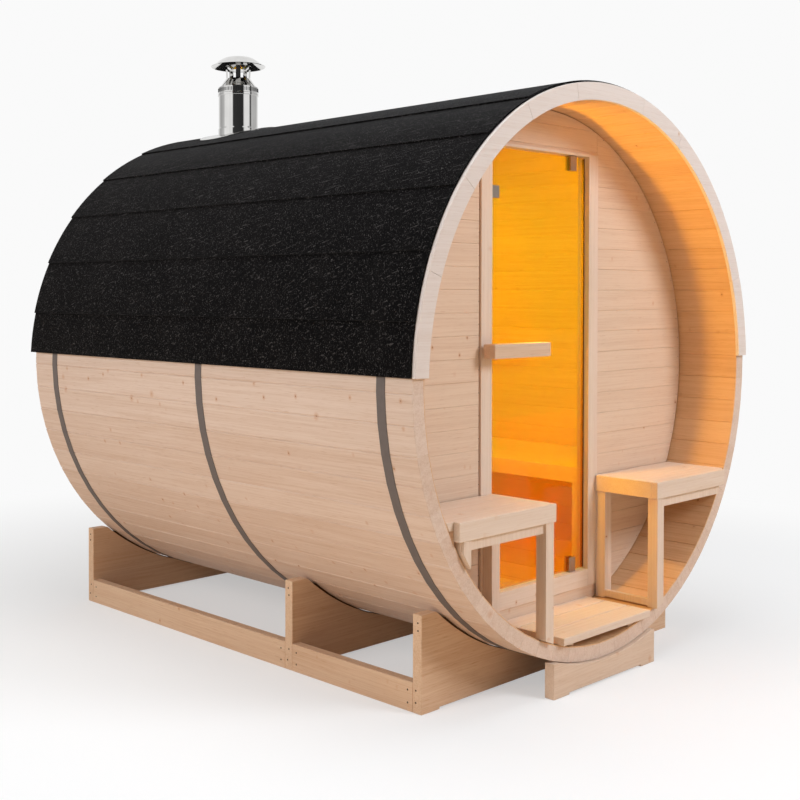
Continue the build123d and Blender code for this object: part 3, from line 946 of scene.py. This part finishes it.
# Studio floor: it glows white to the camera, and keeps the barrel's shadow near the barrel
floor_recipe = Recipe("studio floor")
bpy.ops.object.select_all(action="DESELECT")
bpy.ops.mesh.primitive_plane_add(size=FLOOR_SIZE, location=(0, 0, 0))
floor = bpy.context.object
floor.name = "floor"
floor.data.materials.append(floor_recipe.material)
bounced = floor_recipe.node("LightPath", output="Is Diffuse Ray")
ground = floor_recipe.mix(bounced, FLOOR_COLOUR, FLOOR_BOUNCE)
floor_recipe.finish(Base_Color=ground, Roughness=0.9, Specular_IOR_Level=0.1)
glow = floor_recipe.node("Emission", {"Color": BACKDROP, "Strength": 1.0})
seen = floor_recipe.node("LightPath", output="Is Camera Ray")
mirrored = floor_recipe.node("LightPath", output="Is Glossy Ray")
through = floor_recipe.node("LightPath", output="Is Transmission Ray")
east, north = floor_recipe.axes()[:2]
away = (east * east + north * north).maths("SQRT")
share = (seen + mirrored + through).maths("MINIMUM", 1.0) * away.to(GLOW_NEAR, GLOW_FAR, FLOOR_GLOW, 1.0)
blend = floor_recipe.node("MixShader", {0: share, 1: floor_recipe.surface, 2: glow})
floor_recipe.fill(floor_recipe.output, {0: blend})

# The sky lights plainly, shows white to the camera, and mirrors as a dark room with a bright side
world = bpy.data.worlds.new("studio")
bpy.context.scene.world = world
world.use_nodes = True
sky = Nodes(world.node_tree)
x, y, z = sky.axes()
bearing = (y.maths("ARCTAN2", x) * (180 / math.pi) + 360).maths("MODULO", 360)
room_stops = [(degrees / 360, (grey, grey, grey, 1)) for degrees, grey in ROOM_BANDS]
room = sky.node("ValToRGB", {0: bearing * (1 / 360)}, stops=room_stops)
warm = sky.mix(z.to(-0.05, 0.4), SKY_HORIZON, SKY_WHITE)
plain_light = sky.node("Background", {0: warm, 1: SKY_LIGHT})
mirrored_room = sky.node("Background", {0: room, 1: 1.0})
backdrop = sky.node("Background", {0: BACKDROP, 1: 1.0})
glossy = sky.node("LightPath", output="Is Glossy Ray")
shown = sky.node("LightPath", output="Is Camera Ray")
unseen = sky.node("MixShader", {0: glossy, 1: plain_light, 2: mirrored_room})
sky.add("OutputWorld", {0: sky.node("MixShader", {0: shown, 1: unseen, 2: backdrop})})


def lamp(name, place, aim, size, power, colour=(1, 1, 1)):
    """A round or oval lamp, as wide and tall as its size gives."""
    data = bpy.data.lights.new(name, "AREA")
    data.shape = "ELLIPSE"
    data.size, data.size_y = size
    data.energy = power
    data.color = colour
    obj = bpy.data.objects.new(name, data)
    bpy.context.scene.collection.objects.link(obj)
    obj.location = place
    direction = Vector(aim) - Vector(place)
    obj.rotation_euler = direction.to_track_quat("-Z", "Y").to_euler()
    obj.visible_camera = False
    obj.visible_glossy = False
    return obj


def keep_off(name, lamps, pieces):
    """Keeps some lamps' light off some pieces."""
    unlit = bpy.data.collections.new(name)
    for piece in pieces:
        unlit.objects.link(piece)
    for member in unlit.collection_objects:
        member.light_linking.link_state = "EXCLUDE"
    for warm_lamp in lamps:
        warm_lamp.light_linking.receiver_collection = unlit


# Three studio lamps, then the cabin's warm light and its glow through the door
lamp("key", (-6.5, 0.3, 3.0), (0, 0.0, 0.9), (3.5, 3.5), 180, (0.94, 0.97, 1.0))
lamp("top", (-0.6, -0.6, 7.0), (0, 0, 0), (5.0, 5.0), 215)
lamp("front", (1.6, -5.8, 4.2), (0, -0.8, 0.9), (2.5, 2.5), 215, (0.90, 0.94, 1.0))
cabin_fill = lamp(
    "cabin_fill", (-0.1, 0.1, 1.80), (0.25, 0.3, 0.2), (0.7, 0.7), 11.6, (0.77, 1.0, 0.01)
)
cabin_low = lamp(
    "cabin_low", (-0.2, 0.1, 0.75), (0.3, 0.3, 0.3), (0.5, 0.5), 2.2, (1.0, 0.24, 0.0)
)
porch_glow = lamp(
    "porch_glow", (-0.46, -0.70, 1.50), (0.04, -1.566, 1.36), (0.14, 0.14), 30, (1.0, 0.52, 0.01)
)
door_glow = lamp(
    "door_glow", (-0.02, -0.812, 1.10), (-0.02, -2, 1.05), (0.5, 1.4), 4.0, (1.0, 0.48, 0.01)
)
frame_pieces = [bpy.data.objects[name] for name in (
    "door_jamb_left_eased", "door_jamb_right_eased", "door_head_and_sill_eased"
)]
keep_off("not lit by the porch glow", (porch_glow,), [floor, *frame_pieces])
keep_off("not lit by the door glow", (door_glow,), [floor])
flue_pieces = [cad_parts["chimney_pipe"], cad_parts["chimney_cowl"]]
keep_off("not lit by the cabin lamps", (cabin_fill, cabin_low), [floor, *flue_pieces])

# Camera
camera_data = bpy.data.cameras.new("camera")
camera_data.sensor_width = SENSOR_WIDTH
camera_data.lens = LENS_PIXELS * SENSOR_WIDTH / FRAME_PIXELS
camera_data.shift_x, camera_data.shift_y = CAMERA_SHIFT
camera_data.clip_end = CAMERA_REACH
camera = bpy.data.objects.new("camera", camera_data)
bpy.context.scene.collection.objects.link(camera)
camera.location = (CAMERA_SIDE, FRONT - CAMERA_BEFORE_BARREL, AXIS + CAMERA_OVER_AXIS)
camera.rotation_euler = (math.radians(90 - CAMERA_DOWN), 0, -math.radians(CAMERA_TURN))
bpy.context.scene.camera = camera
bpy.context.scene.view_settings.view_transform = "Standard"
